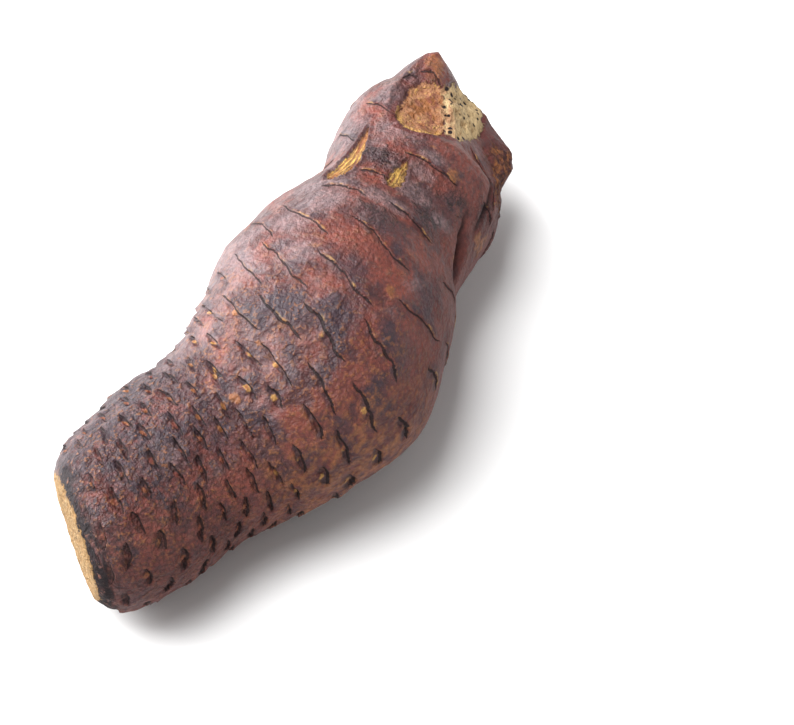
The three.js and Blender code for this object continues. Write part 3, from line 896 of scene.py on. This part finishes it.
def stem_material(colours):
    """Wrinkled skin over the whole stem, each layer a smoothstep of a sum of noises and fields: red
    and brown patches, ochre behind each scar and purple ahead of it, stains, painted sheen, painted
    shade in wrinkle creases, the dark lower third, flecks, painted shade on the right side, rubbed
    patches, painted bounce light on the lower right, the charred rim, painted shade in the pebbles'
    hollows, the scars with painted shade in pits, under lips and along lines, nodules, gashes with
    painted shade between fibres, and the bare flesh of the broken and sawn ends, with painted shade
    in its pores and creases."""
    shader = Shader("dried_stem_skin")
    field = shader.attribute
    length, side, pad, plate = field("length"), field("side"), field("pad"), field("plate")
    patch = shader.noise(10.0)
    cloud = shader.noise(6.0)
    blotch = shader.noise(3.6, 4, 0.6)
    mottle = shader.noise(1.7, 4, 0.6)
    speck = shader.noise(0.8, 3, 0.6)
    blotches, mottles, specks = blotch - 0.5, mottle - 0.5, speck - 0.5
    pebble = shader.pebbles(0.95)
    strand = shader.strands(0.7)
    streak = shader.strands(1.3, 3)
    hoop = shader.strands(1.4, 3, "hoop")
    lower = 1 - (length + patch * 24).step(*LOWER_ENDS)
    middle = (length + patch * 16).band(*MIDDLE)

    redness = patch * 0.6 + blotch * 0.5 + pad * 0.12 + side * 0.05 - middle * 0.04
    shader.colour = shader.mix(redness.step(0.48, 0.66), colours.brown, colours.red)
    warm = blotch * 0.6 + mottle * 0.45 + pad * 0.1 + side * lower * 0.06
    shader.lay(warm.step(0.56, 0.72) * (0.5 - middle * 0.1), colours.ochre)
    cool = plate * 0.36 + cloud * 0.85 + mottle * 0.2 + middle * 0.07
    shader.lay(cool.step(0.62, 0.84) * 0.85, colours.purple)
    uneven = blotches * 1.2 + mottles * 0.8
    rust = (field("rust") + uneven).step(0.25, 0.75)
    shader.lay(rust * 0.75, colours.red)
    plum = (field("plum") + uneven * 1.6).step(0.15, 0.95)
    shader.lay(plum * 0.62, colours.purple)
    # Painted sheen: pale patches, and a broad highlight lighter toward the left side, dimmed low
    # down, in the middle and at the head.
    painted_sheen = shader.noise(14.0, 3, 0.6) * 0.9 + mottle * 0.3 - side * 0.08
    pale = painted_sheen.step(0.6, 0.78).over((field("pale") + uneven).step(0.2, 0.9))
    dimmer = lower * 0.3 + middle * 0.2 + length.step(*SHEEN_DIMS) * 0.12
    shader.lay(pale * (0.6 - dimmer), colours.painted_sheen)
    # Painted shade in the creases of wrinkles on the plum patches and the sheen.
    wrinkles = plum.over(pale * 0.5) * (length + patch * 20).step(*WRINKLES_START)
    shader.lay(wrinkles * blotch.creases() * 0.8, colours.crevice_shade)
    gloom = (blotch * 0.7 + mottle * 0.4 - side * 0.1).step(0.48, 0.62)
    shader.lay(lower * gloom * 0.9, colours.purple)
    flecks = (speck * 0.7 + mottle * 0.5 + middle * 0.02).step(0.64, 0.74)
    flecks = flecks * (lower * 0.6 + middle * 0.4 + 0.2)
    shader.lay(flecks * 0.8, colours.ochre)
    # Painted shade: the right side, away from the lights, darker in deep red.
    shader.lay((side + uneven * 0.1).step(0.72, 1.0) * 0.6, colours.brow_red_and_shade)
    rubbed = (field("ochre") + uneven * 1.6).step(0.45, 0.95)
    shader.lay(rubbed * 0.7, colours.ochre)
    # Painted bounce light: warm ochre on the lower right side, lit from the floor.
    bounce_light = side.step(0.5, 0.95) * length.band(*BOUNCE_LIGHT_BAND)
    bounce_light = bounce_light * (blotch * 0.6 + mottle * 0.6).step(0.5, 0.74)
    shader.lay(bounce_light * 0.65, colours.ochre)
    charred = 1 - (length + hoop * 7 + mottle * 4).step(*CHARRED_ENDS)
    charred = charred * hoop.step(0.26, 0.42) * (1 - mottle.step(0.56, 0.64))
    charred = charred * side.step(-0.9, -0.3)
    shader.lay(charred * 0.92, colours.char)
    # Painted shade in the hollows between the pebble bumps.
    hollows = (1 - pebble.step(0.62, 0.84)) * (0.26 + lower * 0.14)
    shader.lay(hollows, colours.crevice_shade)

    # Painted shade in each small scar's hollow and round its rim.
    pit = field("pit") + specks * 0.5
    rim = pit.band(0.2, 0.36, 0.5, 0.75)
    shader.lay(pit.step(0.3, 0.9) * 0.4, colours.crevice_shade)
    shader.lay(rim * 0.45, colours.crevice_shade)
    slit, thin = field("slit"), field("thin")
    past = field("past") + mottles * 0.6 + specks * 0.3
    # Painted shade in purple under each scar's lip, on the base side of its line.
    under = slit.step(0.2, 0.8) * (1 - past.step(-0.2, 0.1)) * blotch.step(0.38, 0.6)
    shader.lay(under * (middle * 0.38 + 0.3), colours.purple)
    nodule = (field("nodule") + specks * 0.6).step(0.22, 0.6)
    rusty = shader.mix(blotch.step(0.4, 0.6), colours.red, colours.ochre)
    rusty = shader.mix(middle * mottle.step(0.42, 0.6) * 0.5, rusty, colours.fibre)
    shader.lay(nodule * 0.9, rusty)
    lip = past.band(0.12, 0.25, 0.35, 0.6) * slit.step(0.3, 0.7)
    frayed = lip * thin * blotch.step(0.5, 0.62)
    shader.lay(frayed * 0.5, colours.fibre)
    # Painted shade along each scar's line and in the folds.
    thick = slit * (0.23 - thin * 0.15 - lower * 0.04)
    line = (1 - (abs(past + 0.05) - thick).step(-0.06, 0.08)) * slit.step(0.02, 0.25)
    dark = line.over(field("fold"))
    shader.lay(dark * (0.9 - lower * 0.12), colours.crevice_shade)

    gash = (field("gash") - GASH_MARGIN + specks * 0.8).step(0.0, 0.4)
    torn = shader.mix(strand.step(0.36, 0.56), colours.ochre, colours.fibre)
    # Painted shade in brown between the gash's fibres.
    torn = shader.mix(streak.creases().over(strand.creases()) * 0.75, torn, colours.brown)
    torn = shader.mix(length.step(*RUSTY_GASH) * (blotch + 0.3), torn, rusty)
    shader.lay(gash, torn)

    ragged = blotches * 4.0 + mottles * 3.4 + specks * 1.4
    facet_depth = field("facet") + ragged
    pith_depth = field("pith") + ragged
    # Deep red skin round the broken flesh, partly painted shade below the torn edge.
    brow_red_and_shade = facet_depth.over(pith_depth).step(-3.2, -1.0) * mottle.step(0.3, 0.46)
    shader.lay(brow_red_and_shade * (0.85 - length.step(*BROW_FADES) * 0.6), colours.brow_red_and_shade)
    facet, pith = facet_depth.step(0.0, 0.6), pith_depth.step(0.0, 0.8)
    net = (field("net") - 0.8 + ragged * 1.7).step(-0.4, 1.8)
    bare = shader.mix((blotch * 0.6 + mottle * 0.5).step(0.46, 0.6), colours.ochre, colours.torn)
    bare = shader.mix(cloud.step(0.47, 0.6) * mottle.step(0.42, 0.55) * 0.7, bare, colours.red)
    edge = (1 - facet_depth.step(1.0, 2.4)) * (1 - length.step(*FACET_EDGE_ENDS))
    golden = (speck * 0.6 + blotch * 0.5).step(0.6, 0.74).over(edge * mottle.step(0.38, 0.52))
    shader.lay(facet, shader.mix(golden * 0.75, bare, colours.fibre))
    core = shader.mix((blotch * 0.7 + speck * 0.35).step(0.34, 0.52), colours.dry, colours.flesh)
    between = facet_depth.step(-4.0, 0.5) * (blotch * 0.6 + mottle * 0.5).step(0.5, 0.62)
    core = shader.mix(between * 0.8, core, colours.torn)
    # Painted shade in the pores of the pith.
    pits = shader.pebbles(2.1).step(0.9, 0.94) * blotch.step(0.4, 0.5)
    shader.lay(pith, shader.mix(pits, core, colours.crevice_shade))
    woody = (strand * 0.5 + mottle * 0.6).step(0.45, 0.68)
    fibres = shader.mix(woody, colours.brown, colours.ochre)
    # Painted shade in the creases between the net's fibres.
    fibres = shader.mix(blotch.creases() * 0.8, fibres, colours.crevice_shade)
    shader.lay(net * 0.85, fibres)

    sawn = 1 - (length + mottles * 1.8 + specks * 0.8).step(*SAWN_ENDS)
    grain = shader.mix((mottle * 0.6 + speck * 0.5).step(0.44, 0.86), colours.dry, colours.flesh)
    shader.lay(sawn, grain)

    raw = gash.over(facet).over(pith).over(sawn).over(net)
    matt = side.step(0.4, 1.0) * 0.25 + dark * 0.3 + raw * 0.4 - wrinkles * 0.05
    rough = (0.26 + mottle * 0.24 + lower * 0.04 + charred * 0.3 + matt).held()
    height = (
        pebble * (0.12 + lower * 0.1)
        + mottle * (0.55 + lower * 0.8 + wrinkles * 1.2)
        + speck * (0.35 + lower * 0.4)
        + blotch * (0.7 + lower * 0.5)
        + cloud * 0.8
        + lip * 0.12
        - line * 0.3
        + gash * strand * 0.9
        + charred * hoop * 1.2
        + raw * (speck * 0.6 + mottle * 0.5)
        - pith * pits * 0.8
    )
    return shader.finish(rough, height, specular=0.33)


def build_stem(shape, colours):
    """Skin and sawn face as one closed surface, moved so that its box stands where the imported
    solid's box is."""
    points, fields = skin_surface(shape)
    steps = points.shape[1]
    sawn = sawn_rings(points[0])
    grid = np.concatenate([sawn[1:], points[:-1]])
    rings = len(grid)
    cloud = np.concatenate([grid.reshape(-1, 3), sawn[0, :1], points[-1, :1]])
    low, high = cloud.min(axis=0), cloud.max(axis=0)
    solid_low, solid_high = (np.array(corner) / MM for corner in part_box(NODE))
    shift = (solid_low + solid_high) / 2 - (low + high) / 2
    shift[2] = solid_low[2] - low[2]
    step = np.arange(steps)
    following = (step + 1) % steps
    base_pole, head_pole = np.full(steps, len(cloud) - 2), np.full(steps, len(cloud) - 1)
    last = (rings - 1) * steps
    fans = np.concatenate([
        np.stack([base_pole, following, step], -1),
        np.stack([head_pole, last + step, last + following], -1),
    ])
    inward = np.repeat(SAWN_SPAN * (np.arange(1, CUT_RINGS) / CUT_RINGS - 1), steps)
    attributes = {}
    for name, values in fields.items():
        inner = inward if name == "length" else np.full(len(inward), values[0].mean())
        poles = (-SAWN_SPAN if name == "length" else inner[0], values[-1, 0])
        attributes[name] = np.concatenate([inner, values[:-1].ravel(), poles])
    turn = np.concatenate([np.tile(np.radians(steps_round()), rings), (0.0, 0.0)])
    drum = DRUM_RADIUS * np.stack([np.sin(turn), np.cos(turn)], -1)
    ahead = attributes["length"][:, None]
    attributes["grain"] = np.concatenate([drum, DRAWN_OUT * ahead], axis=1)
    attributes["hoop"] = np.concatenate([DRAWN_OUT * drum, ahead], axis=1)
    material = stem_material(colours)
    quads = grid_faces(rings, steps)
    piece = mesh_object("stem_skin", (cloud + shift) * MM, quads, fans, attributes, material)
    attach(piece, "root")
    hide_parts(NODE)


def view_directions(studio):
    """The camera's right, up and back in the stem's frame."""
    a, e = studio.azimuth, studio.elevation
    back = Vector((math.sin(a) * math.cos(e), -math.cos(a) * math.cos(e), math.sin(e)))
    right = Vector((math.cos(a), math.sin(a), 0))
    return right, back.cross(right), back


def build_camera(studio):
    """The photograph's camera."""
    lens = bpy.data.cameras.new("photo_camera")
    lens.lens = studio.lens
    lens.sensor_width = SENSOR_WIDTH
    lens.clip_start = 0.01
    camera = bpy.data.objects.new("photo_camera", lens)
    bpy.context.collection.objects.link(camera)
    right, up, back = view_directions(studio)
    place = Vector(VIEW_TARGET) + back * studio.distance
    turn = Matrix((right, up, back)).transposed()
    camera.matrix_world = Matrix.Translation(place) @ turn.to_4x4()
    bpy.context.scene.camera = camera


def area_light(name, studio, direction, distance, power):
    """A square soft light in one of the camera's directions, with its -Z toward its target."""
    right, up, back = view_directions(studio)
    lamp = bpy.data.lights.new(name, "AREA")
    lamp.size = LIGHT_SIZE
    lamp.energy = power
    light = bpy.data.objects.new(name, lamp)
    bpy.context.collection.objects.link(light)
    way = (right * direction[0] + up * direction[1] + back * direction[2]).normalized()
    light.location = way * distance
    aim = Vector(LIGHT_TARGET) - way * distance
    light.rotation_euler = aim.to_track_quat("-Z", "Y").to_euler()


def build_studio(studio):
    """A wide pale floor, an even sky, a key light from the upper left and a softer top light."""
    floor_mesh = bpy.data.meshes.new("floor")
    half = FLOOR_HALF
    corners = [(-half, -half, 0), (half, -half, 0), (half, half, 0), (-half, half, 0)]
    floor_mesh.from_pydata(corners, [], [(0, 1, 2, 3)])
    shader = Shader("pale_floor")
    grain = shader.noise(40, 2)
    shader.colour = shader.mix(grain * 0.03, studio.floor, (1.0, 1.0, 1.0))
    floor_mesh.materials.append(shader.finish(0.9, grain * 0.01, specular=0.1))
    floor = bpy.data.objects.new("floor", floor_mesh)
    bpy.context.collection.objects.link(floor)
    world = bpy.data.worlds.new("studio_sky")
    world.use_nodes = True
    sky = world.node_tree.nodes["Background"]
    sky.inputs["Color"].default_value = (1.0, 1.0, 1.0, 1.0)
    sky.inputs["Strength"].default_value = studio.sky
    bpy.context.scene.world = world
    bpy.context.scene.view_settings.view_transform = "Standard"
    area_light("key_light", studio, KEY_DIRECTION, KEY_DISTANCE, studio.key_power)
    area_light("top_light", studio, TOP_DIRECTION, TOP_DISTANCE, studio.top_power)


class STEM_OT_build(bpy.types.Operator):
    """Build the dried stem with its scars, sawn base and torn head"""

    bl_idname = "dried_stem.build"
    bl_label = "Build Dried Stem"

    def execute(self, context):
        build_stem(context.scene.stem_shape, context.scene.stem_colours)
        return {"FINISHED"}


class STEM_OT_stage(bpy.types.Operator):
    """Add the camera, the floor and the lights"""

    bl_idname = "dried_stem.stage"
    bl_label = "Build Studio"

    def execute(self, context):
        build_camera(context.scene.studio_settings)
        build_studio(context.scene.studio_settings)
        return {"FINISHED"}


class STEM_PT_panel(bpy.types.Panel):
    """Lists the stem's operators and settings"""

    bl_idname = "STEM_PT_panel"
    bl_label = "Dried Stem"
    bl_space_type = "VIEW_3D"
    bl_region_type = "UI"
    bl_category = "Dried Stem"

    def draw(self, context):
        layout = self.layout
        for operator in (STEM_OT_build, STEM_OT_stage):
            layout.operator(operator.bl_idname)
        for group in (getattr(context.scene, name) for name in SETTINGS):
            for name in group.bl_rna.properties.keys():
                if name not in ("rna_type", "name"):
                    layout.prop(group, name)


SETTINGS = {"stem_shape": StemShape, "stem_colours": StemColours, "studio_settings": StudioSettings}
CLASSES = (StemShape, StemColours, StudioSettings, STEM_OT_build, STEM_OT_stage, STEM_PT_panel)


def register():
    for cls in CLASSES:
        bpy.utils.register_class(cls)
    for name, group in SETTINGS.items():
        setattr(bpy.types.Scene, name, bpy.props.PointerProperty(type=group))


def unregister():
    for name in SETTINGS:
        delattr(bpy.types.Scene, name)
    for cls in reversed(CLASSES):
        bpy.utils.unregister_class(cls)


def main():
    register()
    bpy.ops.dried_stem.build()
    bpy.ops.dried_stem.stage()


if __name__ == "__main__":
    main()
